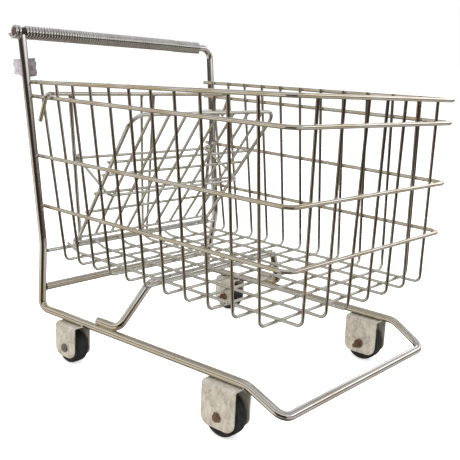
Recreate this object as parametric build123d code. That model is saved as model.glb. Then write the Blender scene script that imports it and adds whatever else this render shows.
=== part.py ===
"""Small welded-wire shopping cart with a spring grip, a swing gate and a folding child seat.

Frame: +X forward (towards the nose), +Y to the cart's left, +Z up.
Origin: on the floor, in the cart's middle plane, under the middle of its overall length.
The dimensions below measure x from the rear corners of the rails, with the rails level; main()
tips the finished parts nose-up, because the front wheels are larger, and stands them on the floor.
All lengths are in millimetres.
"""
from build123d import *
import os
from math import atan2, cos, degrees, hypot, radians, sin

# ---------------------------------------------------------------- stock
ROD_DIA = 6.35          # frame, handle, cross rod and basket support
HOOP_DIA = 3.2          # basket hoops, gate rod, rear floor rod, seat frames
WIRE_DIA = 2.4          # basket wires and bars
WELD_SINK = 0.12        # how far resistance-welded wires sink into each other
ROD_R = ROD_DIA / 2
HOOP_R = HOOP_DIA / 2
WIRE_R = WIRE_DIA / 2

PITCH = 2.0             # degrees nose-up, standing on the wheels
STAND_DROP = 6.05       # drop after tipping about the rear corners' floor line
ORIGIN_X = 114.1        # from there to the origin

# ---------------------------------------------------------------- frame
RAIL_Z = 41.0           # rail centre before tipping
RAIL_LENGTH = 225.0     # rear corner to the start of the nose
RAIL_HALF_REAR = 103.0
RAIL_HALF_FRONT = 99.0
NOSE_X = 254.5
NOSE_HALF = 95.0
NOSE_DROP = 15.5        # nose bar below the rails
LEG_BEND_X = 7.0        # where each leg turns into the upright
LEG_BEND_HALF = 106.2
LEG_BEND_RISE = 58.0
HANDLE_X = -13.5
HANDLE_HALF = 110.6
HANDLE_RISE = 225.9     # handle bar above the rails, in the middle
HANDLE_TILT = 1.3       # its right end is this much higher, its left end lower
HANDLE_STUB = 7.0       # bar past the right upright
CROSS_ROD_RISE = 18.4

# ---------------------------------------------------------------- basket
BASKET_LENGTH = 254.0
FLOOR_RISE = 44.5       # floor cross wires above the rails, at mid length
FLOOR_HALF = 98.5
RIM_HALF_REAR = 102.5
RIM_FLARE = 3.5         # the rim is this much wider each side at the front
BASKET_FALL = 2.5       # lower hoops and floor drop by twice this, rear to front
RIM_RISE = 191.0
HOOP_RISES = (RIM_RISE, 175.0, 128.5, 87.5)     # the rim and hoops 2 to 4, at the left rear
HOOP_SKEWS = ((-2.2, 2.2, -1.5), (0.0, 1.9, -0.8), (-1.2, 0.0, -2.3), (-1.2, 0.0, -1.5))
                        # how much higher each hoop is at the right rear, right front and left front
HOOP_CORNER = 9.0
HOOP_TAIL = 5.0         # hoop ends behind the upright's centre
CROSS_WIRES = 11
FRONT_WIRES = 7
FRONT_PITCH = 27.0
FRONT_TOP_LEAN = (0.0, 3.0, 7.0, 5.0, 4.0, -4.0, 1.0)   # hand-bent front wires, sideways at the rim
WIRE_CORNER = 5.0
REAR_ROD_X = 8.0
REAR_ROD_RISE = 51.4
LIFT_START_X = 22.0     # floor wires turn up from here to the rear rod
LIFT_END_X = 7.0
LIFT_END_RISE = 54.5

# ---------------------------------------------------------------- basket support
SUPPORT_REAR_X = 73.0
SUPPORT_TURN_X = 97.0
SUPPORT_TOP_X = 106.0
SUPPORT_TOP_HALF = 78.0

# ---------------------------------------------------------------- gate and child seat
GATE_X = 17.5
GATE_SIDE_TOP = 87.0
GATE_SIDE_BOTTOM = 76.0
GATE_HINGE_HALF = 82.6  # the bottom wire runs past the gate sides to carry the seat back
GATE_BOTTOM_RISE = 56.8
GATE_HOOK_Y = 109.2
GATE_HOOK_REAR = 9.0
GATE_HOOK_DROP = 22.0
SEAT_WIRE_RISE = 128.5  # gate cross wire that carries the seat platform
GATE_BAR_TOP = 7.5
GATE_BAR_BOTTOM = 2.5
GATE_BAR_BUTT = 1.1     # the centre wires end this far under the hinge rod's centre
HINGE_GAP = 0.1         # radial clearance of an eye on its wire
BACK_LEAN = 34.0        # seat back from vertical, open
BACK_HEIGHT = 136.0
BACK_HALF_TOP = 87.0
BACK_HALF_BOTTOM = 79.8
BACK_CORNER = 12.0
BACK_FOOT = 8.5         # foot wire above the hinge line, along the panel
BACK_BARS = 8
BACK_WIRES = (33.0, 53.7, 73.5, 87.0)
PLATFORM_SLOPE = 33.0   # seat platform below horizontal, open
PLATFORM_REACH = 48.0
PLATFORM_HALF = 78.8
PLATFORM_CORNER = 5.0

# ---------------------------------------------------------------- casters
CASTER_X = {"rear": 38.3, "front": 202.6}
CASTER_SKEW = {"rear": 3.3, "front": 4.6}       # right casters sit this much forward, left ones back
WHEEL_DIA = {"rear": 26.8, "front": 30.8}
WHEEL_WIDTH = {"rear": 11.8, "front": 12.6}
WHEEL_SHOULDER = 2.2
HUB_DIA = 11.0
HUB_RECESS = 0.9
AXLE_DIA = 4.0
AXLE_FIT = 0.08         # radial running fit of the wheel on its axle
AXLE_HEAD_DIA = 6.4
AXLE_HEAD = 1.8
AXLE_TIP = {-1: 5.0, 1: 9.0}    # right and left bolts past the bracket
NUT_FLATS = 7.0
NUT_HEIGHT = 3.0
BRACKET_LENGTH = {"rear": 24.0, "front": 30.4}
BRACKET_WIDTH = {"rear": 16.8, "front": 17.8}
BRACKET_HEIGHT = {"rear": 27.4, "front": 31.9}
BRACKET_SHEET = 1.3
BRACKET_BEND = 2.6
BRACKET_CORNER = 7.5

# ---------------------------------------------------------------- grip and tags
COIL_OUTER = 11.0
COIL_LEFT_END = 94.0
FERRULE_OUTER = 11.3
FERRULE_LENGTH = 13.0
FERRULE_LIP = 0.6       # ferrule past the cut end of the bar
FERRULE_EDGE = 1.2
TAG_SIZE = (17.5, 0.4, 14.4)
STRIP_SIZE = (21.0, 0.4, 4.5)
TAG_RISE = 200.0
STRIP_RISE = 162.0
TAG_TURN = 56.0         # tags face forward and to the right

FLOOR_Z = RAIL_Z + FLOOR_RISE
RIM_Z = RAIL_Z + RIM_RISE
HANDLE_Z = RAIL_Z + HANDLE_RISE
HANDLE_SLOPE = degrees(atan2(HANDLE_TILT, HANDLE_HALF))
LEG_BEND_Z = RAIL_Z + LEG_BEND_RISE
HOOP_OFFSET = HOOP_R + WIRE_R - WELD_SINK
WIRE_STACK = 2 * WIRE_R - WELD_SINK
SIDES = {"right": -1, "left": 1}


def bent_rod(points, diameter, corners):
    """A round rod along straight runs joined by tangent arcs."""
    if len(points) == 2:
        path = Line(*points)
    else:
        path = FilletPolyline(*points, radius=corners)
    section = Plane(origin=path @ 0, z_dir=path % 0) * Circle(diameter / 2)
    return sweep(section, path=path)


def mirrored(points):
    """A path and its reflection in the cart's middle plane, as one open path."""
    return points + [(x, -y, z) for x, y, z in reversed(points)]


def fall(x):
    """Height change of the lower basket at x: it drops towards the front."""
    return BASKET_FALL * (1 - 2 * x / BASKET_LENGTH)


def hoop_z(number, x, side):
    """Height of a hoop's centre on one side: the hand-made hoops are not quite level."""
    right_rear, right_front, left_front = HOOP_SKEWS[number - 1]
    rear, front = (right_rear, right_front) if side < 0 else (0.0, left_front)
    drop = 0.0 if number == 1 else fall(x)
    return RAIL_Z + HOOP_RISES[number - 1] + drop + rear + (front - rear) * x / BASKET_LENGTH


def side_half(x, z):
    """Half width of the basket's side wires at a place on the side."""
    rim = RIM_HALF_REAR + RIM_FLARE * x / BASKET_LENGTH
    share = (z - FLOOR_Z) / (RIM_Z - FLOOR_Z)
    return FLOOR_HALF + share * (rim - FLOOR_HALF)


def upright_at(z):
    """Centre (x, half width) of the uprights at a height."""
    share = (z - LEG_BEND_Z) / (HANDLE_Z - LEG_BEND_Z)
    x = LEG_BEND_X + share * (HANDLE_X - LEG_BEND_X)
    return x, LEG_BEND_HALF + share * (HANDLE_HALF - LEG_BEND_HALF)


def leg_at(z):
    """Centre (x, half width) of the legs at a height below the bend."""
    share = (z - RAIL_Z) / LEG_BEND_RISE
    return share * LEG_BEND_X, RAIL_HALF_REAR + share * (LEG_BEND_HALF - RAIL_HALF_REAR)


def rail_half(x):
    """Half width of the rails at x: they close in towards the front."""
    return RAIL_HALF_REAR + (RAIL_HALF_FRONT - RAIL_HALF_REAR) * x / RAIL_LENGTH


# ---------------------------------------------------------------- frame pieces
def frame_side(side):
    """One side of the frame, from half way up the upright round to the nose."""
    middle_z = (LEG_BEND_Z + HANDLE_Z) / 2
    x, half = upright_at(middle_z)
    return [
        (x, side * half, middle_z),
        (LEG_BEND_X, side * LEG_BEND_HALF, LEG_BEND_Z),
        (0, side * RAIL_HALF_REAR, RAIL_Z),
        (RAIL_LENGTH, side * RAIL_HALF_FRONT, RAIL_Z),
        (NOSE_X, side * NOSE_HALF, RAIL_Z - NOSE_DROP),
    ]


def make_frame_rod():
    """One rod: up the left side, across as the handle bar and past the top of the right upright."""
    left_top = (HANDLE_X, HANDLE_HALF, HANDLE_Z - HANDLE_TILT)
    bar_end = (HANDLE_X, -HANDLE_HALF - HANDLE_STUB, HANDLE_Z + HANDLE_TILT)
    left = frame_side(1)[:0:-1]
    bends = [40.0, 7.0, 18.0, 9.0, 9.0, 18.0, 7.0, 40.0, 10.0]
    rod = bent_rod(frame_side(-1) + left + [left_top, bar_end], ROD_DIA, bends)
    right_top = (HANDLE_X, -HANDLE_HALF, HANDLE_Z + HANDLE_TILT)
    return rod + bent_rod([frame_side(-1)[0], right_top], ROD_DIA, None)


def make_rear_cross_rod():
    z = RAIL_Z + CROSS_ROD_RISE
    x, half = leg_at(z)
    end = half - ROD_R
    return bent_rod([(x, -end, z), (x, end, z)], ROD_DIA, None)


def make_basket_support_rod():
    on_rail = RAIL_Z + ROD_DIA - WELD_SINK / 2
    under_floor = FLOOR_Z + fall(SUPPORT_TOP_X) - WIRE_R - ROD_R
    right = [
        (SUPPORT_REAR_X, -rail_half(SUPPORT_REAR_X), on_rail),
        (SUPPORT_TURN_X, -rail_half(SUPPORT_TURN_X), on_rail),
        (SUPPORT_TOP_X, -SUPPORT_TOP_HALF, under_floor),
    ]
    return bent_rod(mirrored(right), ROD_DIA, [8.0, 9.0, 9.0, 8.0])


# ---------------------------------------------------------------- basket pieces
def hoop_side(number, side):
    """Rear end and front corner of a hoop on one side; the end is welded inside the upright."""
    points = []
    for x in (upright_at(hoop_z(number, 0, side))[0] - HOOP_TAIL, BASKET_LENGTH + HOOP_OFFSET):
        z = hoop_z(number, x, side)
        points.append((x, side * (side_half(x, z) + HOOP_OFFSET), z))
    return points


def make_hoop(number):
    """A hoop round the sides and front."""
    points = hoop_side(number, -1) + hoop_side(number, 1)[::-1]
    return bent_rod(points, HOOP_DIA, [HOOP_CORNER, HOOP_CORNER])


def cross_wire_x(number):
    """Rim and floor positions of a cross wire; the spacing opens towards the front."""
    step = number - 1
    return 20.0 * step + 0.27 * step**2, 27.4 + 17.6 * step + 0.29 * step**2


def make_cross_wire(number):
    """A U: down the right side, across the floor and up the left side."""
    top_x, floor_x = cross_wire_x(number)
    sides = []
    for side in (-1, 1):
        top_z = hoop_z(1, top_x, side) + HOOP_R
        sides.append([
            (top_x, side * side_half(top_x, top_z), top_z),
            (floor_x, side * FLOOR_HALF, FLOOR_Z + fall(floor_x)),
        ])
    return bent_rod(sides[0] + sides[1][::-1], WIRE_DIA, [WIRE_CORNER, WIRE_CORNER])


def make_front_wire(number):
    """An L: down the front, back along the floor and up on to the rear rod."""
    y = FRONT_PITCH * (number - (FRONT_WIRES + 1) / 2)
    top_y = y + FRONT_TOP_LEAN[number - 1]
    right_z, left_z = (hoop_z(1, BASKET_LENGTH, side) for side in (-1, 1))
    top_z = (right_z + left_z) / 2 + (left_z - right_z) * top_y / (2 * RIM_HALF_REAR) + HOOP_R
    points = [
        (BASKET_LENGTH, top_y, top_z),
        (BASKET_LENGTH, y, FLOOR_Z + fall(BASKET_LENGTH) + WIRE_STACK),
        (LIFT_START_X, y, FLOOR_Z + fall(LIFT_START_X) + WIRE_STACK),
        (LIFT_END_X, y, RAIL_Z + LIFT_END_RISE),
    ]
    return bent_rod(points, WIRE_DIA, [WIRE_CORNER, 12.0])


def make_rear_floor_rod():
    z = RAIL_Z + REAR_ROD_RISE
    half = leg_at(z)[1] - ROD_R + WELD_SINK
    return bent_rod([(REAR_ROD_X, -half, z), (REAR_ROD_X, half, z)], HOOP_DIA, None)


# ---------------------------------------------------------------- grip and tags
def on_bar(y):
    """A place on the handle bar with its axis along the bar, Z towards the right end."""
    return Pos(HANDLE_X, 0, HANDLE_Z) * Rot(90 - HANDLE_SLOPE, 0, 0) * Pos(0, 0, -y)


def make_handle_grip_coil():
    """Outer shape of the close-wound spring that covers the handle bar."""
    start = -HANDLE_HALF - HANDLE_STUB - FERRULE_LIP + FERRULE_LENGTH
    length = COIL_LEFT_END - start
    sleeve = Cylinder(COIL_OUTER / 2, length) - Cylinder(ROD_R + HINGE_GAP, length)
    return on_bar(start + length / 2) * sleeve


def make_handle_end_ferrule(frame_rod):
    """Ring on the cut end of the bar, where the right upright meets it."""
    end = -HANDLE_HALF - HANDLE_STUB - FERRULE_LIP
    sleeve = Cylinder(FERRULE_OUTER / 2, FERRULE_LENGTH)
    sleeve = fillet(sleeve.edges().filter_by(GeomType.CIRCLE), FERRULE_EDGE)
    sleeve -= Cylinder(ROD_R + HINGE_GAP, FERRULE_LENGTH)
    return on_bar(end + FERRULE_LENGTH / 2) * sleeve - frame_rod


def make_upright_tags():
    """Blank remnants of a tag and a tape strip, one on each upright and leaning with it."""
    lean = degrees(atan2(HANDLE_X - LEG_BEND_X, HANDLE_Z - LEG_BEND_Z))
    splay = degrees(atan2(HANDLE_HALF - LEG_BEND_HALF, HANDLE_Z - LEG_BEND_Z))
    tags = []
    for size, rise, side, face in ((TAG_SIZE, TAG_RISE, -1, 1), (STRIP_SIZE, STRIP_RISE, 1, -1)):
        x, half = upright_at(RAIL_Z + rise)
        away = face * (ROD_R + size[1] / 2)
        place = Pos(x, side * half, RAIL_Z + rise) * Rot(-side * splay, lean, 0)
        tags.append(place * Rot(0, 0, TAG_TURN) * Pos(0, away, 0) * Box(*size))
    return tags


# ---------------------------------------------------------------- gate
def gate_hinge_z():
    return hoop_z(2, GATE_X, -1) + HOOP_DIA + 0.3


def make_gate_hinge_rod():
    """Top rod of the gate: lies on the second hoop and is hooked down outside the walls."""
    z = gate_hinge_z()
    right = [
        (GATE_X - GATE_HOOK_REAR, -GATE_HOOK_Y, z - GATE_HOOK_DROP),
        (GATE_X, -GATE_HOOK_Y, z),
    ]
    return bent_rod(mirrored(right), HOOP_DIA, [3.4, 3.4])


def gate_side_half(z):
    top = gate_hinge_z()
    bottom = RAIL_Z + GATE_BOTTOM_RISE
    share = (z - bottom) / (top - bottom)
    return GATE_SIDE_BOTTOM + share * (GATE_SIDE_TOP - GATE_SIDE_BOTTOM)


def make_gate_side_wire(side):
    """A side of the gate, from the hinge rod down to the bottom wire."""
    top = gate_hinge_z() - HOOP_R + WELD_SINK
    bottom = RAIL_Z + GATE_BOTTOM_RISE + WIRE_R - WELD_SINK
    ends = [(GATE_X, side * gate_side_half(z), z) for z in (top, bottom)]
    return bent_rod(ends, HOOP_DIA, None)


def make_gate_bottom_wire():
    """Bottom wire of the gate; it runs past the sides to carry the seat back's eyes."""
    z = RAIL_Z + GATE_BOTTOM_RISE
    return bent_rod([(GATE_X, -GATE_HINGE_HALF, z), (GATE_X, GATE_HINGE_HALF, z)], WIRE_DIA, None)


def make_gate_seat_wire():
    """Cross wire of the gate that the seat platform's eyes turn on."""
    z = RAIL_Z + SEAT_WIRE_RISE
    half = gate_side_half(z) - HOOP_R + WELD_SINK
    return bent_rod([(GATE_X, -half, z), (GATE_X, half, z)], WIRE_DIA, None)


def make_gate_centre_wire(side):
    """One of the two upright wires between the leg openings, behind the cross wires."""
    x = GATE_X - WIRE_STACK
    top = (x, side * GATE_BAR_TOP, gate_hinge_z() - GATE_BAR_BUTT)
    bottom = (x, side * GATE_BAR_BOTTOM, RAIL_Z + GATE_BOTTOM_RISE - WIRE_R)
    return bent_rod([top, bottom], WIRE_DIA, None)


def hinge_eye(x, y, z, radius):
    """An eye of wire of this radius that turns on a gate wire lying along Y."""
    ring = Torus(WIRE_R + HINGE_GAP + radius, radius)
    return Pos(x, y, z) * Rot(90, 0, 0) * ring


# ---------------------------------------------------------------- seat back
def back_half(along):
    return BACK_HALF_BOTTOM + (BACK_HALF_TOP - BACK_HALF_BOTTOM) * along / BACK_HEIGHT


def on_back(along, y, proud=0.0):
    """A point of the open seat back: along the panel, across it, and proud of its front."""
    lean = radians(BACK_LEAN)
    x = GATE_X + along * sin(lean) + proud * cos(lean)
    z = RAIL_Z + GATE_BOTTOM_RISE + along * cos(lean) - proud * sin(lean)
    return (x, y, z)


def make_seat_back_frame():
    """Sides and rounded top of the seat back, with an eye at each foot."""
    foot = WIRE_R + HINGE_GAP + HOOP_R
    right = [on_back(foot, -back_half(foot)), on_back(BACK_HEIGHT, -BACK_HALF_TOP)]
    frame = bent_rod(mirrored(right), HOOP_DIA, [BACK_CORNER, BACK_CORNER])
    for side in SIDES.values():
        frame += hinge_eye(GATE_X, side * back_half(foot), RAIL_Z + GATE_BOTTOM_RISE, HOOP_R)
    return frame


def make_seat_back_bar(number):
    """One of the evenly spaced bars, from the foot wire to the top of the frame."""
    share = number / (BACK_BARS + 1) * 2 - 1
    top = BACK_HEIGHT - HOOP_R + WELD_SINK
    start = on_back(BACK_FOOT - WIRE_R, share * back_half(BACK_FOOT), WIRE_STACK - HOOP_OFFSET)
    end = on_back(top, share * BACK_HALF_TOP, WIRE_STACK - HOOP_OFFSET)
    return bent_rod([start, end], WIRE_DIA, None)


def make_seat_back_cross_wires():
    """Wires across the back of the bars and frame, and one in front between the frame's feet."""
    spans = [(along, back_half(along) + HOOP_R, -HOOP_OFFSET) for along in BACK_WIRES]
    foot_half = back_half(BACK_FOOT) - HOOP_R + WELD_SINK
    spans.append((BACK_FOOT, foot_half, 2 * WIRE_STACK - HOOP_OFFSET))
    wires = []
    for along, half, proud in spans:
        ends = [on_back(along, side * half, proud) for side in (-1, 1)]
        wires.append(bent_rod(ends, WIRE_DIA, None))
    return wires


# ---------------------------------------------------------------- seat platform
def on_platform(along, y, proud=0.0):
    """A point of the open platform: along its side wires, across it, and proud of its top."""
    slope = radians(PLATFORM_SLOPE)
    x = GATE_X + along * cos(slope) + proud * sin(slope)
    z = RAIL_Z + SEAT_WIRE_RISE - along * sin(slope) + proud * cos(slope)
    return (x, y, z)


def make_seat_platform_frame():
    """Side wires and front edge of the seat platform, with an eye at each rear end."""
    start = WIRE_DIA + HINGE_GAP
    right = [on_platform(start, -PLATFORM_HALF), on_platform(PLATFORM_REACH, -PLATFORM_HALF)]
    frame = bent_rod(mirrored(right), WIRE_DIA, [PLATFORM_CORNER, PLATFORM_CORNER])
    for side in SIDES.values():
        frame += hinge_eye(GATE_X, side * PLATFORM_HALF, RAIL_Z + SEAT_WIRE_RISE, WIRE_R)
    return frame


# ---------------------------------------------------------------- casters
def caster_place(end, side):
    x = CASTER_X[end] - side * CASTER_SKEW[end]
    return Pos(x, side * rail_half(x), 0)


def axle_place(end, side):
    """Centre of a wheel: high enough to stand on the floor once the cart is tipped."""
    x = CASTER_X[end] - side * CASTER_SKEW[end]
    z = (WHEEL_DIA[end] / 2 + STAND_DROP - x * sin(radians(PITCH))) / cos(radians(PITCH))
    return caster_place(end, side) * Pos(0, 0, z)


def make_caster_bracket(end, side):
    """Inverted U of sheet under a rail, with rounded lower corners."""
    length, width, height = BRACKET_LENGTH[end], BRACKET_WIDTH[end], BRACKET_HEIGHT[end]
    section = Rectangle(width, height)
    section = fillet(section.vertices().group_by(Axis.Y)[-1], BRACKET_BEND)
    inner = Rectangle(width - 2 * BRACKET_SHEET, height)
    inner = fillet(inner.vertices().group_by(Axis.Y)[-1], BRACKET_BEND - BRACKET_SHEET)
    section -= Pos(0, -BRACKET_SHEET) * inner
    channel = extrude(Plane.YZ * section, length / 2, both=True)
    outline = Rectangle(length, height)
    outline = fillet(outline.vertices().group_by(Axis.Y)[0], BRACKET_CORNER)
    bracket = channel & extrude(Plane.XZ * outline, width, both=True)
    bracket = caster_place(end, side) * Pos(0, 0, RAIL_Z - ROD_R - height / 2) * bracket
    return bracket - axle_place(end, side) * Rot(90, 0, 0) * Cylinder(AXLE_DIA / 2, 2 * width)


def inward(side):
    """Turns +Z to point from a rail towards the middle of the cart."""
    return Rot(-90, 0, 0) if side < 0 else Rot(90, 0, 0)


def make_caster_axle(end, side):
    """Round-headed bolt: head outside the rail, threaded tip inside."""
    width = BRACKET_WIDTH[end]
    tip = AXLE_TIP[side]
    shank = Pos(0, 0, tip / 2) * Cylinder(AXLE_DIA / 2, width + tip)
    head = Cylinder(AXLE_HEAD_DIA / 2, AXLE_HEAD)
    head = fillet(head.edges().group_by(Axis.Z)[0], AXLE_HEAD * 0.75)
    bolt = shank + Pos(0, 0, -(width + AXLE_HEAD) / 2) * head
    return axle_place(end, side) * inward(side) * bolt


def make_axle_nut(end, side):
    """Hexagon nut on the axle's inner end."""
    nut = extrude(RegularPolygon(NUT_FLATS / 2, 6, major_radius=False), NUT_HEIGHT)
    nut -= Cylinder(AXLE_DIA / 2, 3 * NUT_HEIGHT)
    return axle_place(end, side) * inward(side) * Pos(0, 0, BRACKET_WIDTH[end] / 2) * nut


def make_caster_wheel(end, side):
    """Solid rubber wheel with rounded shoulders and a shallow recess round the hub."""
    radius, width = WHEEL_DIA[end] / 2, WHEEL_WIDTH[end]
    wheel = Cylinder(radius, width)
    wheel = fillet(wheel.edges().filter_by(GeomType.CIRCLE), WHEEL_SHOULDER)
    for face in (-1, 1):
        ring = Cylinder(radius - 4.0, HUB_RECESS) - Cylinder(HUB_DIA / 2, HUB_RECESS)
        wheel -= Pos(0, 0, face * (width - HUB_RECESS) / 2) * ring
    wheel -= Cylinder(AXLE_DIA / 2 + AXLE_FIT, 2 * width)
    return axle_place(end, side) * Rot(90, 0, 0) * wheel


# ---------------------------------------------------------------- assembly
def build_parts():
    parts = {}
    parts["frame_rod"] = make_frame_rod()
    parts["rear_cross_rod"] = make_rear_cross_rod()
    parts["basket_support_rod"] = make_basket_support_rod()
    parts["rear_floor_rod"] = make_rear_floor_rod()
    parts["rim_hoop"] = make_hoop(1)
    for number in range(2, len(HOOP_RISES) + 1):
        parts[f"basket_hoop_{number}"] = make_hoop(number)
    for number in range(1, CROSS_WIRES + 1):
        parts[f"cross_wire_{number:02d}"] = make_cross_wire(number)
    for number in range(1, FRONT_WIRES + 1):
        parts[f"front_wire_{number}"] = make_front_wire(number)
    parts["handle_grip_coil"] = make_handle_grip_coil()
    parts["handle_end_ferrule"] = make_handle_end_ferrule(parts["frame_rod"])
    parts["upright_tags"] = make_upright_tags()
    parts["gate_hinge_rod"] = make_gate_hinge_rod()
    parts["gate_seat_wire"] = make_gate_seat_wire()
    parts["gate_bottom_wire"] = make_gate_bottom_wire()
    for name, side in SIDES.items():
        parts[f"gate_side_wire_{name}"] = make_gate_side_wire(side)
        parts[f"gate_centre_wire_{name}"] = make_gate_centre_wire(side)
    parts["seat_back_frame"] = make_seat_back_frame()
    for number in range(1, BACK_BARS + 1):
        parts[f"seat_back_bar_{number}"] = make_seat_back_bar(number)
    parts["seat_back_cross_wires"] = make_seat_back_cross_wires()
    parts["seat_platform_frame"] = make_seat_platform_frame()
    nuts = []
    for end in CASTER_X:
        for name, side in SIDES.items():
            place = f"{end}_{name}"
            parts[f"caster_bracket_{place}"] = make_caster_bracket(end, side)
            parts[f"caster_axle_{place}"] = make_caster_axle(end, side)
            parts[f"caster_wheel_{place}"] = make_caster_wheel(end, side)
            nuts.append(make_axle_nut(end, side))
    parts["axle_nuts"] = nuts
    return parts


def main():
    os.makedirs("parts", exist_ok=True)
    stand = Pos(-ORIGIN_X, 0, -STAND_DROP) * Rot(0, -PITCH, 0)
    for name, shape in build_parts().items():
        solids = shape if isinstance(shape, list) else [shape]
        pieces = [solid for item in solids for solid in item.solids()]
        pieces = [stand * piece for piece in pieces]
        whole = pieces[0] if len(pieces) == 1 else Compound(children=pieces)
        export_step(whole, f"parts/{name}.step")


main()
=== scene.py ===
"""Looks for a small wire shopping cart: plated rod and wire, a wound spring grip, welds, zinc caster
brackets and rubber wheels.

Lengths are in metres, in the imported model's own frame: +X towards the nose, +Y to the cart's left,
+Z up. Profiles of turned forms are in mm.
"""

import math
import random

import bmesh
import bpy
import numpy as np
from mathutils import Matrix, Vector
from mathutils.bvhtree import BVHTree
from mathutils.geometry import intersect_ray_tri


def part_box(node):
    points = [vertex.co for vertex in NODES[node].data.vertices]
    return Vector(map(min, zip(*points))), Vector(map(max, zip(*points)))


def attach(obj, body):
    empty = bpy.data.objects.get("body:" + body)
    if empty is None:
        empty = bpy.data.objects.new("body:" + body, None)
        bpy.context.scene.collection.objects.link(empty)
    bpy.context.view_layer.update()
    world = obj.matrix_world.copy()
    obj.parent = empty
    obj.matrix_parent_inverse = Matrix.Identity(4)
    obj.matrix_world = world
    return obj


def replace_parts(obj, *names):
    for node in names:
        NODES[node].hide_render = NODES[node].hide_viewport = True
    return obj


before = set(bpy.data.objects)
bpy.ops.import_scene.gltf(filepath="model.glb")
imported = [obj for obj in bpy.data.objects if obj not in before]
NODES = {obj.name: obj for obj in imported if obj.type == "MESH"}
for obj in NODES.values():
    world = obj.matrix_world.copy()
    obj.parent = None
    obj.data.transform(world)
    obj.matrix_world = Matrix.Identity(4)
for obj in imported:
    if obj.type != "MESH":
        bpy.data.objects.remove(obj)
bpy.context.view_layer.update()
MM = 0.001


# ---------------------------------------------------------------- material helpers
class Paint:
    """Builds one node material round a Principled shader, working in object coordinates."""

    def __init__(self, name):
        self.mat = bpy.data.materials.new(name)
        self.mat.use_nodes = True
        self.tree = self.mat.node_tree
        self.shader = self.tree.nodes["Principled BSDF"]
        self.coords = self.tree.nodes.new("ShaderNodeTexCoord").outputs["Object"]

    def link(self, source, target):
        if hasattr(source, "is_linked"):
            self.tree.links.new(source, target)
        else:
            target.default_value = source

    def stretched(self, scale):
        """Object coordinates scaled unevenly, for streaks."""
        node = self.tree.nodes.new("ShaderNodeMapping")
        node.inputs["Scale"].default_value = scale
        self.tree.links.new(self.coords, node.inputs["Vector"])
        return node.outputs["Vector"]

    def noise(self, size_mm, detail=4.0, rough=0.6, coords=None, offset=0.0):
        """Soft noise with features of about this size."""
        node = self.tree.nodes.new("ShaderNodeTexNoise")
        node.noise_dimensions = "4D"
        node.inputs["W"].default_value = offset
        node.inputs["Scale"].default_value = 1.0 / (size_mm * MM)
        node.inputs["Detail"].default_value = detail
        node.inputs["Roughness"].default_value = rough
        self.tree.links.new(coords or self.coords, node.inputs["Vector"])
        return node.outputs["Fac"]

    def band(self, value, low, high, to_low=0.0, to_high=1.0):
        """A value mapped from low..high and held at the ends."""
        node = self.tree.nodes.new("ShaderNodeMapRange")
        node.inputs["From Min"].default_value = low
        node.inputs["From Max"].default_value = high
        node.inputs["To Min"].default_value = to_low
        node.inputs["To Max"].default_value = to_high
        self.tree.links.new(value, node.inputs["Value"])
        return node.outputs["Result"]

    def math(self, kind, a, b):
        node = self.tree.nodes.new("ShaderNodeMath")
        node.operation = kind
        node.use_clamp = True
        self.link(a, node.inputs[0])
        self.link(b, node.inputs[1])
        return node.outputs[0]

    def mix(self, share, a, b):
        """Colour a to colour b."""
        node = self.tree.nodes.new("ShaderNodeMix")
        node.data_type = "RGBA"
        self.link(share, node.inputs[0])
        self.link(a, node.inputs[6])
        self.link(b, node.inputs[7])
        return node.outputs[2]

    def axis(self, letter):
        node = self.tree.nodes.new("ShaderNodeSeparateXYZ")
        self.tree.links.new(self.coords, node.inputs[0])
        return node.outputs["XYZ".index(letter)]

    def bump(self, height, depth_mm, strength=1.0):
        node = self.tree.nodes.new("ShaderNodeBump")
        node.inputs["Strength"].default_value = strength
        node.inputs["Distance"].default_value = depth_mm * MM
        self.tree.links.new(height, node.inputs["Height"])
        self.tree.links.new(node.outputs["Normal"], self.shader.inputs["Normal"])

    def set(self, socket, value):
        self.link(value, self.shader.inputs[socket])


def rgb(r, g, b):
    return (r, g, b, 1.0)


RUST_DARK = rgb(0.10, 0.040, 0.018)
RUST_LIGHT = rgb(0.34, 0.155, 0.060)


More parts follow.
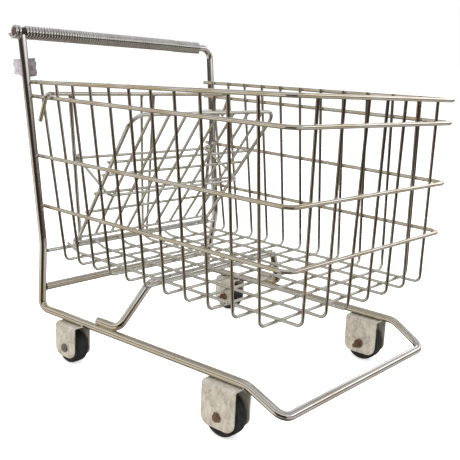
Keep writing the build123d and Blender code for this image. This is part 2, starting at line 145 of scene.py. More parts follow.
def plated(name, clean, tint, dull, tint_from, rust_from, rough, seed, zone=None):
    """Old bright plating: clean metal, warm tarnish in patches, fine pits, and rust where it has failed.

    A zone is (colour, extra roughness, [(axis, from, to), ...]): another tone where all its bands are full.
    """
    p = Paint(name)
    patches = p.noise(26.0, 3.0, 0.55, offset=seed)
    fine = p.noise(1.1, 3.0, 0.7, offset=seed + 1)
    pits = p.noise(0.45, 2.0, 0.5, offset=seed + 2)
    spread = p.noise(13.0, 4.0, 0.65, offset=seed + 3)
    tarnish = p.band(patches, tint_from, tint_from + 0.22)
    mottle = p.math("MULTIPLY", p.band(fine, 0.50, 0.74), p.band(patches, 0.34, 0.66))
    rust = p.math("MULTIPLY", p.band(spread, rust_from, rust_from + 0.08), p.band(fine, 0.42, 0.60))
    speck = p.math("MULTIPLY", p.band(pits, 0.67, 0.75), p.band(spread, 0.44, 0.60))
    rust = p.math("ADD", rust, speck)
    colour = p.mix(tarnish, clean, tint)
    haze = p.math("ADD", p.band(fine, 0.35, 0.75, rough, rough + 0.08), p.math("MULTIPLY", tarnish, 0.05))
    if zone:
        zone_colour, zone_rough, bands = zone
        share = p.band(p.axis(bands[0][0]), bands[0][1], bands[0][2])
        for axis, low, high in bands[1:]:
            share = p.math("MULTIPLY", share, p.band(p.axis(axis), low, high))
        colour = p.mix(p.math("MULTIPLY", share, p.band(spread, 0.25, 0.60, 0.75, 1.0)), colour, zone_colour)
        haze = p.math("ADD", haze, p.math("MULTIPLY", share, zone_rough))
    colour = p.mix(p.math("MULTIPLY", mottle, 0.55), colour, dull)
    rust_colour = p.mix(fine, RUST_DARK, RUST_LIGHT)
    p.set("Base Color", p.mix(rust, colour, rust_colour))
    p.set("Metallic", p.band(rust, 0.0, 1.0, 1.0, 0.15))
    p.set("Roughness", p.math("ADD", haze, p.math("MULTIPLY", rust, 0.45)))
    p.bump(p.math("ADD", fine, p.math("MULTIPLY", rust, 0.6)), 0.022, 0.45)
    return p.mat


def rusty(name, dark, light, metal, seed):
    """Bare steel under a scaly coat of rust."""
    p = Paint(name)
    scale = p.noise(1.6, 5.0, 0.7, offset=seed)
    grain = p.noise(0.35, 3.0, 0.6, offset=seed + 1)
    bare = p.band(scale, 0.56, 0.68)
    p.set("Base Color", p.mix(bare, p.mix(grain, dark, light), metal))
    p.set("Metallic", p.band(bare, 0.0, 1.0, 0.25, 0.9))
    p.set("Roughness", p.band(grain, 0.3, 0.7, 0.40, 0.80))
    p.bump(p.math("ADD", scale, grain), 0.12, 0.8)
    return p.mat


def zinc(name):
    """Dull plated sheet: cloudy, with faint paler streaks, yellow-brown stains and spots of rust."""
    p = Paint(name)
    clouds = p.noise(9.0, 4.0, 0.6)
    spots = p.noise(2.4, 4.0, 0.65, offset=3.0)
    streaks = p.noise(5.0, 3.0, 0.6, coords=p.stretched((2.2, 1.0, 0.5)), offset=6.0)
    fine = p.noise(0.6, 3.0, 0.6, offset=9.0)
    colour = p.mix(p.band(clouds, 0.36, 0.64), rgb(0.70, 0.665, 0.59), rgb(0.50, 0.47, 0.40))
    colour = p.mix(p.band(streaks, 0.48, 0.66, 0.0, 0.75), colour, rgb(0.80, 0.76, 0.69))
    stain = p.math("MULTIPLY", p.band(spots, 0.51, 0.62), p.band(clouds, 0.42, 0.56))
    colour = p.mix(p.math("MULTIPLY", stain, 0.62), colour, rgb(0.42, 0.32, 0.17))
    rust = p.band(p.noise(1.3, 5.0, 0.7, offset=12.0), 0.64, 0.72)
    colour = p.mix(rust, colour, rgb(0.22, 0.12, 0.06))
    p.set("Base Color", colour)
    p.set("Metallic", p.band(rust, 0.0, 1.0, 0.55, 0.1))
    p.set("Roughness", p.band(p.math("ADD", fine, stain), 0.3, 1.1, 0.38, 0.68))
    p.bump(p.math("ADD", fine, p.math("MULTIPLY", streaks, 0.7)), 0.05, 0.6)
    return p.mat


def rubber(name):
    """Hard black rubber, scuffed grey on the tread and dusty in the sidewall."""
    p = Paint(name)
    scuff = p.noise(3.5, 5.0, 0.7)
    grain = p.noise(0.5, 3.0, 0.6, offset=4.0)
    dust = p.band(scuff, 0.46, 0.70)
    colour = p.mix(dust, rgb(0.008, 0.008, 0.009), rgb(0.030, 0.029, 0.028))
    p.set("Base Color", p.mix(p.band(grain, 0.64, 0.74), colour, rgb(0.060, 0.055, 0.050)))
    p.set("Roughness", p.band(p.math("ADD", scuff, p.math("MULTIPLY", grain, 0.4)), 0.4, 1.0, 0.38, 0.68))
    p.shader.inputs["Specular IOR Level"].default_value = 0.40
    p.bump(p.math("ADD", grain, scuff), 0.05, 0.45)
    return p.mat


def aged_tape(name, pale, grime_and_painted_shade, axis, low, high):
    """Thin old tape: pale at one end and darker at the other as painted shade, with darker grime blotches and
    faint creases; lets some light through.
    """
    p = Paint(name)
    grime = p.noise(4.0, 4.0, 0.6)
    fibres = p.noise(1.2, 3.0, 0.6, coords=p.stretched((1.0, 1.0, 4.0)), offset=2.0)
    # run darkens the tape along the axis from pale to the darker colour: painted shade; grime adds blotches
    # of the same colour at random
    run = p.band(p.axis(axis), low, high)
    share = p.math("ADD", p.math("MULTIPLY", run, 0.75), p.band(grime, 0.42, 0.75, 0.0, 0.5))
    p.set("Base Color", p.mix(share, pale, grime_and_painted_shade))
    p.set("Roughness", p.band(fibres, 0.3, 0.7, 0.45, 0.70))
    p.shader.inputs["Alpha"].default_value = 0.86
    p.bump(fibres, 0.05, 0.5)
    return p.mat


# Zones: the low rails behind the nose, and the floor wires; on the side wires the floor zone is the lighter
# tone of their flat lengths, and the rest is darker as painted shade.
RAIL_TONE = (rgb(0.78, 0.72, 0.60), 0.07, [("Z", 0.075, 0.052), ("X", 0.125, 0.100)])
FLOOR_TONE = (rgb(0.86, 0.86, 0.80), 0.0, [("Z", 0.097, 0.089)])
ROD = plated(
    "rod_plate", rgb(0.90, 0.88, 0.86), rgb(0.78, 0.73, 0.64), rgb(0.50, 0.44, 0.35),
    tint_from=0.50, rust_from=0.67, rough=0.07, seed=1.0, zone=RAIL_TONE,
)
HOOP = plated(
    "hoop_plate", rgb(0.88, 0.85, 0.78), rgb(0.76, 0.67, 0.51), rgb(0.46, 0.38, 0.26),
    tint_from=0.40, rust_from=0.65, rough=0.10, seed=11.0,
)
# The side wires' darker plating colours are painted shade, standing in for the dark room their upright
# lengths mirror.
SIDE = plated(
    "side_wire_plate_painted_shade", rgb(0.58, 0.54, 0.49), rgb(0.44, 0.37, 0.29), rgb(0.22, 0.17, 0.12),
    tint_from=0.42, rust_from=0.63, rough=0.15, seed=21.0, zone=FLOOR_TONE,
)
SEAT = plated(
    "seat_wire_plate", rgb(0.90, 0.91, 0.87), rgb(0.76, 0.73, 0.60), rgb(0.42, 0.39, 0.29),
    tint_from=0.46, rust_from=0.64, rough=0.10, seed=31.0,
)
GRIP = plated(
    "grip_plate", rgb(0.88, 0.87, 0.85), rgb(0.74, 0.71, 0.66), rgb(0.38, 0.34, 0.30),
    tint_from=0.52, rust_from=0.72, rough=0.11, seed=41.0,
)
# The bar under the spring: rust, darkened to near black as painted shade for the gaps between the spring's
# turns.
CORE = rusty(
    "grip_core_rust_and_painted_shade", rgb(0.020, 0.014, 0.010), rgb(0.060, 0.040, 0.026), rgb(0.10, 0.08, 0.06), seed=3.0
)
WELD = plated(
    "weld_plate", rgb(0.62, 0.56, 0.44), rgb(0.48, 0.38, 0.22), rgb(0.26, 0.19, 0.11),
    tint_from=0.36, rust_from=0.56, rough=0.26, seed=5.0,
)
RUSTY = rusty(
    "rusty_steel", rgb(0.060, 0.028, 0.016), rgb(0.23, 0.125, 0.070), rgb(0.40, 0.32, 0.26), seed=8.0
)
BAR_END = rusty(
    "bar_end", rgb(0.040, 0.024, 0.016), rgb(0.17, 0.105, 0.070), rgb(0.34, 0.27, 0.21), seed=17.0
)
BOLT = rusty(
    "dull_bolt", rgb(0.075, 0.062, 0.050), rgb(0.21, 0.18, 0.145), rgb(0.44, 0.42, 0.39), seed=14.0
)
ZINC = zinc("zinc_sheet")
RUBBER = rubber("black_rubber")


def paint(names, material):
    for name in names:
        mesh = NODES[name].data
        mesh.materials.clear()
        mesh.materials.append(material)
        for polygon in mesh.polygons:
            polygon.material_index = 0


def named(*starts):
    return sorted(n for n in NODES if n.startswith(starts))


SEAT_NODES = named("gate_side", "gate_centre", "gate_seat", "gate_bottom", "seat_back", "seat_platform")
paint(["frame_rod", "rear_cross_rod", "basket_support_rod"], ROD)
paint(["rim_hoop", "gate_hinge_rod"] + named("basket_hoop"), HOOP)
paint(named("cross_wire", "front_wire"), SIDE)
paint(SEAT_NODES + ["rear_floor_rod"], SEAT)
paint(named("caster_bracket"), ZINC)


# ---------------------------------------------------------------- mesh helpers
def new_piece(name, verts, faces, materials, body, slot, which=None):
    """A smooth mesh piece that rides on a body; which gives each face's material."""
    mesh = bpy.data.meshes.new(name)
    mesh.from_pydata([tuple(v) for v in verts], [], faces)
    for material in materials:
        mesh.materials.append(material)
    for index, polygon in enumerate(mesh.polygons):
        polygon.use_smooth = True
        polygon.material_index = which[index] if which else 0
    mesh.update()
    piece = bpy.data.objects.new(name, mesh)
    bpy.context.scene.collection.objects.link(piece)
    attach(piece, body)
    return piece


class Build:
    """Collects several closed forms into one mesh."""

    def __init__(self):
        self.verts, self.faces, self.which = [], [], []

    def add(self, verts, faces, material=0):
        start = len(self.verts)
        self.verts += [tuple(v) for v in verts]
        self.faces += [tuple(i + start for i in face) for face in faces]
        self.which += [material] * len(faces)

    def piece(self, name, materials, body, slot):
        return new_piece(name, self.verts, self.faces, materials, body, slot, self.which)


def ring_faces(rows, sides, close_ends, loop=False):
    """Faces over rows of points; a loop joins the last row back to the first."""
    faces = []
    for i in range(rows if loop else rows - 1):
        for k in range(sides):
            a, b = i * sides + k, i * sides + (k + 1) % sides
            c, d = [(v + sides) % (rows * sides) for v in (b, a)]
            faces.append((a, b, c, d))
    if close_ends:
        last = (rows - 1) * sides
        faces.append(tuple(range(sides))[::-1])
        faces.append(tuple(range(last, last + sides)))
    return faces


def tube(points, radius, sides):
    """Vertices and faces of a capped tube along points, with a frame that doesn't twist."""
    points = np.asarray(points, float)
    tangents = np.gradient(points, axis=0)
    tangents /= np.linalg.norm(tangents, axis=1)[:, None]
    side = np.cross(tangents[0], (0.0, 0.0, 1.0))
    if np.linalg.norm(side) < 1e-6:
        side = np.array((1.0, 0.0, 0.0))
    verts = []
    turns = np.linspace(0, 2 * math.pi, sides, endpoint=False)
    for centre, tangent in zip(points, tangents):
        side = side - tangent * side.dot(tangent)
        side /= np.linalg.norm(side)
        other = np.cross(tangent, side)
        for a in turns:
            verts.append(centre + radius * (math.cos(a) * side + math.sin(a) * other))
    return verts, ring_faces(len(points), sides, True)


def turned(profile, centre, axis, sides=64, shape=None):
    """A closed form turned round an axis from (radius, distance) pairs in mm.

    A profile that comes back to its first pair makes a ring; any other starts and ends near the axis,
    where small flat faces close it. shape(radius, angle) may bend a row.
    """
    ring = profile[0] == profile[-1]
    if ring:
        profile = profile[:-1]
    axis = Vector(axis).normalized()
    first = axis.orthogonal().normalized()
    second = axis.cross(first)
    verts = []
    for radius, along in profile:
        for k in range(sides):
            a = 2 * math.pi * k / sides
            r = shape(radius, a) if shape else radius
            out = first * math.cos(a) + second * math.sin(a)
            verts.append(Vector(centre) + axis * (along * MM) + out * (r * MM))
    return verts, ring_faces(len(profile), sides, not ring, ring)


def middle(box):
    return (box[0] + box[1]) / 2


# ---------------------------------------------------------------- spring grip
GRIP_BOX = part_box("handle_grip_coil")
END_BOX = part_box("handle_end_ferrule")
BAR = (middle(GRIP_BOX) - middle(END_BOX)).normalized()     # from the cut end towards the left
ACROSS = BAR.cross(Vector((0, 0, 1))).normalized()
OVER = ACROSS.cross(BAR)
BAR_START = middle(END_BOX) - BAR * (END_BOX[1].y - END_BOX[0].y) / 2
BAR_RUN = (GRIP_BOX[1].y - END_BOX[0].y) / BAR.y
COIL_WIRE = 1.05 * MM      # radius of the spring's wire
COIL_REACH = 5.5 * MM - COIL_WIRE
COIL_STEPS = 22         # points in a turn
COIL_START = math.radians(200)
PITCH_LOOSE = 3.00 * MM    # at the cut end, closing up over PITCH_RUN
PITCH_CLOSED = 0.52 * MM
PITCH_RUN = 75 * MM
PITCH_WANDER = 0.10 * MM
END_TURNS = 1.6         # turns on the cut end of the bar
BRIDGE_TURNS = 0.8      # the quick turn over the top of the upright
BRIDGE_RUN = 6.4 * MM
END_PROUD = 1.6 * MM    # the last turn stands past the bar's end
STEP_AT = 176 * MM      # the winding shifts a little here


def coil_points():
    """Centre line of the spring: end turns, one quick turn past the upright, then close wound."""
    along = COIL_WIRE - END_PROUD
    turn = 0.0
    points = []
    while along < BAR_RUN - COIL_WIRE:
        late = 1 / (1 + math.exp(-(along - STEP_AT) / (1.2 * MM)))
        pitch = PITCH_LOOSE - PITCH_CLOSED * min(along / PITCH_RUN, 1.0)
        pitch += PITCH_WANDER * math.sin(along * 410) * math.sin(along * 171)
        if END_TURNS <= turn < END_TURNS + BRIDGE_TURNS:
            pitch = BRIDGE_RUN / BRIDGE_TURNS
        angle = 2 * math.pi * turn + COIL_START
        r = COIL_REACH + 0.05 * MM * math.sin(along * 900) - 0.06 * MM * (1 - late)
        centre = BAR_START + BAR * along - OVER * (0.34 * MM * late)
        points.append(centre + ACROSS * (r * math.cos(angle)) + OVER * (r * math.sin(angle)))
        turn += 1 / COIL_STEPS
        along += pitch / COIL_STEPS
    return points


coil = new_piece("grip_spring", *tube(coil_points(), COIL_WIRE, 8), [GRIP], "cart", "grip_wire")
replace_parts(coil, "handle_grip_coil", "handle_end_ferrule")

BAR_SIDES = 40
CORE_INSET = 0.9        # mm from the cut end to the dark core
CORE_RUN = BAR_RUN / MM - 1.2
CORE_PROFILE = [
    (0.2, 0), (3.2, 0), (3.75, 0.3), (3.75, 100), (3.75, CORE_RUN - 0.3), (3.2, CORE_RUN), (0.2, CORE_RUN),
]
CUT_END_PROFILE = [
    (0.2, 0.20), (1.2, 0.12), (2.2, 0.16), (2.9, 0.32), (3.3, 0.8), (3.35, 1.6), (0.2, 1.6),
]
core = Build()
core.add(*turned(CORE_PROFILE, BAR_START + BAR * (CORE_INSET * MM), BAR, BAR_SIDES))
core.add(*turned(CUT_END_PROFILE, BAR_START, BAR, BAR_SIDES), material=1)
core.piece("bar_wrap", [CORE, BAR_END], "cart", "grip_wire")


# ---------------------------------------------------------------- casters
SHOULDER = 2.4          # mm, round of the tyre's edge
BOLT_R = 2.0
DULL_HEAD = [
    (3.45, 0.0), (3.6, 0.35), (3.45, 0.9), (2.9, 1.45), (1.9, 1.8), (0.8, 1.95), (0.2, 1.98),
]
RUSTY_HEAD = [
    (3.3, 0.0), (3.6, 0.5), (3.4, 1.1), (2.5, 1.35), (2.2, 1.0), (1.8, 1.6), (0.9, 2.2), (0.2, 2.25),
]
NUT = [
    (2.0, 0.0), (3.6, 0.02), (4.05, 0.35), (4.05, 2.55), (3.6, 2.95), (2.5, 3.0), (2.0, 2.7), (2.0, 0.0),
]
NUT_FLATS = 7.0
THREAD_ROOT = 1.72
THREAD_PITCH = 0.35


def wheel_profile(radius, half):
    """A solid wheel's ring profile: hub, dished web, rounded tyre and a thin moulding line."""
    side = [
        (2.1, half - 0.25), (4.6, half - 0.22), (5.2, half - 0.45), (5.5, half - 1.0), (5.9, half - 1.25),
        (radius - 5.0, half - 1.25), (radius - 4.4, half - 1.0), (radius - 4.0, half - 0.35),
        (radius - 3.4, half - 0.05),
    ]
    for step in range(7):
        a = math.radians(15 * step)
        reach = radius - SHOULDER + SHOULDER * math.sin(a) - 0.02
        side.append((reach, half - SHOULDER + SHOULDER * math.cos(a)))
    side += [(radius, half - 3.0), (radius, 0.6), (radius + 0.02, 0.28), (radius + 0.14, 0.12)]
    return [(r, -y) for r, y in side] + [(r, y) for r, y in reversed(side)] + [(side[0][0], -side[0][1])]


def head_shape(rusted, seed):
    """A rivet head's outline: lumpy where it has rusted, nearly round where it hasn't."""
    def shape(radius, angle):
        if rusted:
            return radius * (1 + 0.07 * math.cos(3 * angle + seed) + 0.04 * math.cos(7 * angle + 2 * seed))
        return radius * (1 + 0.015 * math.cos(5 * angle + seed))
    return shape


def hexagon(flats):
    """Cuts a row's circle by a hexagon's sides."""
    def shape(radius, angle):
        a = (angle + math.pi / 6) % (math.pi / 3) - math.pi / 6
        return min(radius, flats / 2 / math.cos(a))
    return shape


def add_caster(place, rusted, tip_out):
    """One wheel, and its bolt with a head outside the bracket and a nut and tip_out mm of thread inside."""
    low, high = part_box("caster_wheel_" + place)
    centre = (low + high) / 2
    radius, half = (high.z - low.z) / 2 / MM, (high.y - low.y) / 2 / MM
    wheel = Build()
    wheel.add(*turned(wheel_profile(radius, half), centre, (0, 1, 0), 96))
    tread = wheel.piece("wheel_" + place, [RUBBER], "wheel_" + place, "black_rubber")
    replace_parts(tread, "caster_wheel_" + place)

    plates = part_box("caster_bracket_" + place)
    out = 1 if centre.y > 0 else -1
    outer = plates[1].y if out > 0 else plates[0].y
    inner = plates[0].y if out > 0 else plates[1].y
    hub = Vector((centre.x, 0, centre.z))
    span = abs(outer - inner) / MM
    bolt = Build()
    shank = [(0.2, -span), (BOLT_R, -span), (BOLT_R, -0.1)]
    lumps = head_shape(rusted, 1.7 * centre.x / MM)
    head = shank + (RUSTY_HEAD if rusted else DULL_HEAD)
    bolt.add(*turned(head, hub + Vector((0, outer, 0)), (0, out, 0), 40, lumps))
    thread = [(0.2, 0.0), (1.6, 0.0)]
    for step in range(int(tip_out / THREAD_PITCH)):
        along = THREAD_PITCH * step
        thread += [(BOLT_R, along), (THREAD_ROOT, along + 0.17)]
    thread += [(1.6, tip_out - 0.1), (0.2, tip_out)]
    nut_face = hub + Vector((0, inner, 0))
    bolt.add(*turned(thread, nut_face, (0, -out, 0), 32), material=1 if rusted else 0)
    bolt.add(*turned(NUT, nut_face, (0, -out, 0), 72, hexagon(NUT_FLATS)), material=1)
    piece = bolt.piece("bolt_" + place, [RUSTY if rusted else BOLT, RUSTY], "cart", "plain_steel")
    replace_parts(piece, "caster_axle_" + place)
    return piece


BOLTS = [
    add_caster("rear_right", False, 5.0),
    add_caster("front_right", True, 5.0),
    add_caster("rear_left", True, 9.0),
    add_caster("front_left", True, 9.0),
]
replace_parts(BOLTS[0], "axle_nuts")


# ---------------------------------------------------------------- welds
def cut_points(first, second):
    """Where the edges of two polygons pass through each other."""
    hits = []
    for edges, target in ((first, second), (second, first)):
        for i, start in enumerate(edges):
            run = edges[(i + 1) % len(edges)] - start
            for k in range(1, len(target) - 1):
                hit = intersect_ray_tri(target[0], target[k], target[k + 1], run, start, True)
                if hit is not None and 0 <= (hit - start).dot(run) <= run.length_squared:
                    hits.append(hit)
    return hits


def corners(node, face):
    mesh = NODES[node].data
    return [mesh.vertices[i].co for i in mesh.polygons[face].vertices]


def pressed_places(first, second, apart):
    """Middles of the places where two CAD wires are sunk into each other."""
    groups = []
    for face, other in TREES[first].overlap(TREES[second]):
        for hit in cut_points(corners(first, face), corners(second, other)):
            for group in groups:
                if (group[0] - hit).length < apart:
                    group.append(hit)
                    break
            else:
                groups.append([hit])
    return [sum(group, Vector()) / len(group) for group in groups]


def near_boxes(first, second):
    a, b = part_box(first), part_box(second)
    return all(a[0][i] < b[1][i] + 1e-4 and b[0][i] < a[1][i] + 1e-4 for i in range(3))


def nugget(centre, size, rng):
    """A small squashed bead of weld metal."""
    mesh = bmesh.new()
    bmesh.ops.create_icosphere(mesh, subdivisions=2, radius=1.0)
    phase = [rng.uniform(0, 6.3) for _ in range(4)]
    stretch = Vector((rng.uniform(0.85, 1.2), rng.uniform(0.85, 1.2), rng.uniform(0.8, 1.05)))
    for vert in mesh.verts:
        v = vert.co
        lump = 1 + 0.10 * math.sin(3 * v.x + phase[0]) + 0.08 * math.sin(4 * v.y + phase[1])
        lump += 0.07 * math.sin(5 * v.z + phase[2])
        vert.co = Vector(centre) + Vector((v.x * stretch.x, v.y * stretch.y, v.z * stretch.z)) * (size * lump)
    verts = [tuple(v.co) for v in mesh.verts]
    faces = [tuple(v.index for v in face.verts) for face in mesh.faces]
    mesh.free()
    return verts, faces


HEAVY = ("frame_rod", "rear_cross_rod", "basket_support_rod")
HEAVY_WELD = (1.5, 1.9)     # mm, smallest and largest nugget
LIGHT_WELD = (1.05, 1.30)
WELD_APART = 7 * MM         # contacts nearer than this are one weld
WELDED = {
    "cart": ["frame_rod", "rear_cross_rod", "basket_support_rod", "rear_floor_rod", "rim_hoop"]
            + named("basket_hoop", "cross_wire", "front_wire"),
    "gate": named("gate_"),
    "seat_back": named("seat_back"),
}
TREES = {}
for group in WELDED.values():
    for node in group:
        mesh = NODES[node].data
        TREES[node] = BVHTree.FromPolygons([v.co for v in mesh.vertices], [p.vertices for p in mesh.polygons])
rng = random.Random(7)
for body, group in WELDED.items():
    beads = Build()
    for index, first in enumerate(group):
        for second in group[index + 1:]:
            if near_boxes(first, second):
                for spot in pressed_places(first, second, WELD_APART):
                    size = rng.uniform(*(HEAVY_WELD if first in HEAVY else LIGHT_WELD))
                    beads.add(*nugget(spot, size * MM, rng))
    if beads.verts:
        beads.piece("welds_" + body, [WELD], body, "chrome_wire")


# ---------------------------------------------------------------- tag remnants
TAPE_THICK = 0.12 * MM


def sheet_axes(side):
    """Middle, long, short and thin directions and half sizes of one CAD tag."""
    points = np.array([v.co for v in NODES["upright_tags"].data.vertices if v.co.y * side > 0])
    centre = points.mean(axis=0)
    _, _, axes = np.linalg.svd(points - centre)
    reach = [np.abs((points - centre) @ axis).max() for axis in axes]
    return Vector(centre), [Vector(axis) for axis in axes], reach


def add_tag(build, side, material, cut, curl):
    """A thin curling sheet in place of one CAD tag, with its lower rear corner torn off by cut."""
    centre, (long, short, thin), (half_long, half_short, _) = sheet_axes(side)
    if long.x < 0:
        long = -long
    if short.z < 0:
        short = -short
    columns, rows = 30, 20
    verts = []
    for j in range(rows + 1):
        for i in range(columns + 1):
            s, t = 2 * i / columns - 1, 2 * j / rows - 1
            low = -1 + max(0.0, (-0.30 - s)) * cut + 0.03 * math.sin(9 * s)
            t = low + (t + 1) / 2 * (1 - low)
            edge = 1 + 0.04 * math.sin(7 * t + side) + 0.02 * math.sin(17 * t)
            bend = curl * (s * s) * (1 + 0.3 * t) + 0.15 * MM * math.sin(5 * s + 3 * t)
            verts.append(centre + long * (s * edge * half_long) + short * (t * half_short) + thin * bend)
    wide, back = columns + 1, len(verts)
    verts += [v + thin * TAPE_THICK for v in verts]
    faces = []
    for j in range(rows):
        for i in range(columns):
            a = j * wide + i
            faces.append((a, a + 1, a + wide + 1, a + wide))
            faces.append((a + back, a + wide + back, a + wide + 1 + back, a + 1 + back))
    rim = list(range(columns)) + [j * wide + columns for j in range(rows)]
    rim += [rows * wide + i for i in range(columns, 0, -1)] + [j * wide for j in range(rows, 0, -1)]
    for a, b in zip(rim, rim[1:] + rim[:1]):
        faces.append((a, a + back, b + back, b))
    build.add(verts, faces, material)
    return centre, long, half_long


tags = Build()
tag_centre, tag_long, tag_half = add_tag(tags, -1, 0, 0.55, 0.9 * MM)
add_tag(tags, 1, 1, 0.20, 0.5 * MM)
# The tags' second colours are the darker ends of a painted shade along X, also used by the grime blotches.
TAPE = aged_tape("lilac_tape", rgb(0.80, 0.735, 0.79), rgb(0.20, 0.165, 0.185), "X",
                 tag_centre.x - tag_long.x * tag_half * 0.20, tag_centre.x + tag_long.x * tag_half * 0.20)
STRIP = aged_tape(
    "white_tape", rgb(0.84, 0.82, 0.80), rgb(0.62, 0.58, 0.54), "X", low=-0.16, high=-0.08
)
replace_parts(tags.piece("blank_tags", [TAPE, STRIP], "cart", "tag_paper"), "upright_tags")


# ---------------------------------------------------------------- floor, light, camera
TOWARDS_LENS = Vector((0.643, -0.766, 0.0))     # a fixed direction, to the dark end of the room
DARK_END = rgb(0.030, 0.022, 0.019)
DARK_REAR = rgb(0.12, 0.10, 0.09)
WARM_RIGHT = rgb(0.72, 0.65, 0.55)
LEFT_STRIP = rgb(1.35, 1.35, 1.35)


def world_light():
    """A room for the plating to mirror: a bright band above a dark skirting, warm low tones to the
    cart's right, a bright strip to its left, and dark ends. Seen directly it is plain white."""
    world = bpy.data.worlds.new("studio")
    bpy.context.scene.world = world
    world.use_nodes = True
    tree = world.node_tree
    back = tree.nodes["Background"]
    coords = tree.nodes.new("ShaderNodeTexCoord")
    parts = tree.nodes.new("ShaderNodeSeparateXYZ")
    tree.links.new(coords.outputs["Generated"], parts.inputs[0])

    def vector(kind, first, second=None):
        node = tree.nodes.new("ShaderNodeVectorMath")
        node.operation = kind
        tree.links.new(first, node.inputs[0])
        if second is not None:
            node.inputs[1].default_value = second
        return node

    def towards(way):
        """How far each direction points this way, -1 to 1."""
        return vector("DOT_PRODUCT", coords.outputs["Generated"], way).outputs["Value"]

    def band(source, low, high, to_low=0.0, to_high=1.0, kind="SMOOTHSTEP"):
        node = tree.nodes.new("ShaderNodeMapRange")
        node.interpolation_type = kind
        for socket, value in (("From Min", low), ("From Max", high), ("To Min", to_low), ("To Max", to_high)):
            node.inputs[socket].default_value = value
        tree.links.new(source, node.inputs["Value"])
        return node.outputs["Result"]

    def times(first, second):
        node = tree.nodes.new("ShaderNodeMath")
        node.operation = "MULTIPLY"
        tree.links.new(first, node.inputs[0])
        tree.links.new(second, node.inputs[1])
        return node.outputs[0]

    def mix(share, first, second):
        node = tree.nodes.new("ShaderNodeMix")
        node.data_type = "RGBA"
        tree.links.new(share, node.inputs[0])
        tree.links.new(first, node.inputs[6])
        node.inputs[7].default_value = second
        return node.outputs[2]

    ramp = tree.nodes.new("ShaderNodeValToRGB")
    stops = [
        (-1.00, rgb(0.06, 0.05, 0.045)), (-0.92, rgb(0.06, 0.05, 0.045)), (-0.66, rgb(0.34, 0.32, 0.29)),
        (-0.28, rgb(0.58, 0.56, 0.52)), (-0.13, rgb(0.40, 0.38, 0.35)), (-0.05, rgb(0.045, 0.036, 0.032)),
        (0.09, rgb(0.055, 0.046, 0.042)), (0.17, rgb(0.45, 0.44, 0.42)), (0.26, rgb(0.96, 0.95, 0.93)),
        (0.38, rgb(0.92, 0.92, 0.90)), (0.48, rgb(0.50, 0.49, 0.48)), (0.74, rgb(0.34, 0.34, 0.34)),
        (1.00, rgb(0.60, 0.60, 0.60)),
    ]
    elements = ramp.color_ramp.elements
    while len(elements) < len(stops):
        elements.new(0.5)
    for element, (place, colour) in zip(elements, stops):
        element.position = (place + 1) / 2
        element.color = colour
    height = parts.outputs["Z"]
    tree.links.new(band(height, -1.0, 1.0, kind="LINEAR"), ramp.inputs["Fac"])

    flat = vector("MULTIPLY", coords.outputs["Generated"], (1.0, 1.0, 0.0))
    level = vector("NORMALIZE", flat.outputs[0])
    facing = vector("DOT_PRODUCT", level.outputs[0], TOWARDS_LENS).outputs["Value"]
    right = band(towards((0.0, -1.0, 0.0)), 0.25, 0.60)
    low = times(band(height, -0.86, -0.60), band(height, -0.02, -0.12))
    colour = mix(times(right, low), ramp.outputs["Color"], WARM_RIGHT)
    left = band(towards((0.0, 1.0, 0.0)), 0.30, 0.60)
    strip = times(band(height, 0.20, 0.28), band(height, 0.50, 0.42))
    colour = mix(times(left, strip), colour, LEFT_STRIP)
    rear = times(band(facing, -0.55, -0.85), band(height, 0.20, 0.0))
    colour = mix(times(rear, band(height, -1.0, -0.9, 0.0, 0.8)), colour, DARK_REAR)
    dark = times(band(facing, 0.66, 0.86), band(height, 0.40, 0.16))
    colour = mix(times(dark, band(height, -0.80, -0.50)), colour, DARK_END)
    tree.links.new(colour, back.inputs["Color"])
    back.inputs["Strength"].default_value = 1.0
    plain = tree.nodes.new("ShaderNodeBackground")      # seen directly, the room is plain white
    plain.inputs["Color"].default_value = rgb(1.0, 1.0, 1.0)
    seen = tree.nodes.new("ShaderNodeLightPath")
    either = tree.nodes.new("ShaderNodeMixShader")
    tree.links.new(seen.outputs["Is Camera Ray"], either.inputs[0])
    tree.links.new(back.outputs[0], either.inputs[1])
    tree.links.new(plain.outputs[0], either.inputs[2])
    tree.links.new(either.outputs[0], tree.nodes["World Output"].inputs["Surface"])


def area_light(name, place, target, size, power, colour=(1, 1, 1)):
    """A soft light that the plating doesn't mirror."""
    data = bpy.data.lights.new(name, "AREA")
    data.shape = "RECTANGLE"
    data.size, data.size_y = size
    data.energy = power
    data.color = colour
    light = bpy.data.objects.new(name, data)
    light.visible_glossy = False
    light.location = place
    light.rotation_euler = (Vector(target) - Vector(place)).to_track_quat("-Z", "Y").to_euler()
    bpy.context.scene.collection.objects.link(light)


FLOOR_HALF = 60.0
FLOOR_GLOW = 0.62       # keeps the floor as white as the room


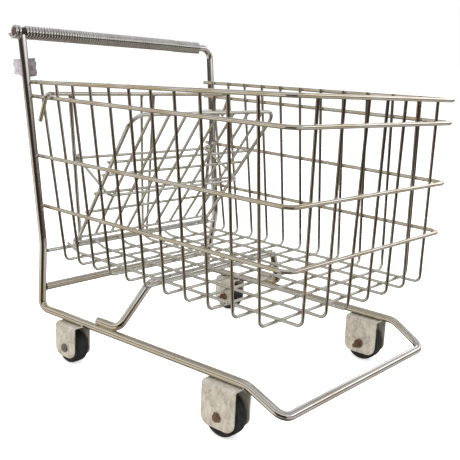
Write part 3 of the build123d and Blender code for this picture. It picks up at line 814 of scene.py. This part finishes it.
def make_floor():
    p = Paint("pale_floor")
    cloud = p.noise(400.0, 3.0, 0.5)
    p.set("Base Color", p.mix(cloud, rgb(0.94, 0.94, 0.94), rgb(0.91, 0.91, 0.91)))
    p.set("Roughness", p.band(cloud, 0.3, 0.7, 0.75, 0.85))
    p.shader.inputs["Emission Color"].default_value = rgb(1.0, 1.0, 1.0)
    p.shader.inputs["Emission Strength"].default_value = FLOOR_GLOW
    h = FLOOR_HALF
    mesh = bpy.data.meshes.new("floor")
    mesh.from_pydata([(-h, -h, 0), (h, -h, 0), (h, h, 0), (-h, h, 0)], [], [(0, 1, 2, 3)])
    mesh.materials.append(p.mat)
    floor = bpy.data.objects.new("floor", mesh)
    bpy.context.scene.collection.objects.link(floor)
    floor.visible_glossy = False


CAMERA_PLACE = (0.396163, -0.468259, 0.260245)
CAMERA_YAW = math.radians(130.162)
CAMERA_PITCH = math.radians(-13.459)
CAMERA_ROLL = math.radians(4.164)
CAMERA_LENS = 59.02


def make_camera():
    data = bpy.data.cameras.new("camera")
    data.lens = CAMERA_LENS
    data.sensor_width = 36.0
    data.clip_start = 0.01
    camera = bpy.data.objects.new("camera", data)
    forward = Vector((
        math.cos(CAMERA_PITCH) * math.cos(CAMERA_YAW),
        math.cos(CAMERA_PITCH) * math.sin(CAMERA_YAW),
        math.sin(CAMERA_PITCH),
    ))
    level = forward.cross(Vector((0, 0, 1))).normalized()
    up = level.cross(forward)
    right = level * math.cos(CAMERA_ROLL) + up * math.sin(CAMERA_ROLL)
    top = up * math.cos(CAMERA_ROLL) - level * math.sin(CAMERA_ROLL)
    turn = Matrix((right, top, -forward)).transposed()
    camera.matrix_world = Matrix.Translation(CAMERA_PLACE) @ turn.to_4x4()
    bpy.context.scene.collection.objects.link(camera)
    bpy.context.scene.camera = camera


world_light()
make_floor()
make_camera()
area_light("top_softbox", (0.1, -0.1, 1.6), (0, 0, 0.1), (1.8, 1.4), 26.0)
area_light("left_window", (0.3, 1.7, 0.9), (0, 0, 0.12), (1.0, 0.8), 10.0, (1.0, 0.99, 0.97))
area_light("right_wall", (-1.3, -1.3, 0.7), (0, 0, 0.12), (1.0, 0.8), 12.0, (1.0, 0.95, 0.87))
bpy.context.scene.view_settings.view_transform = "Standard"
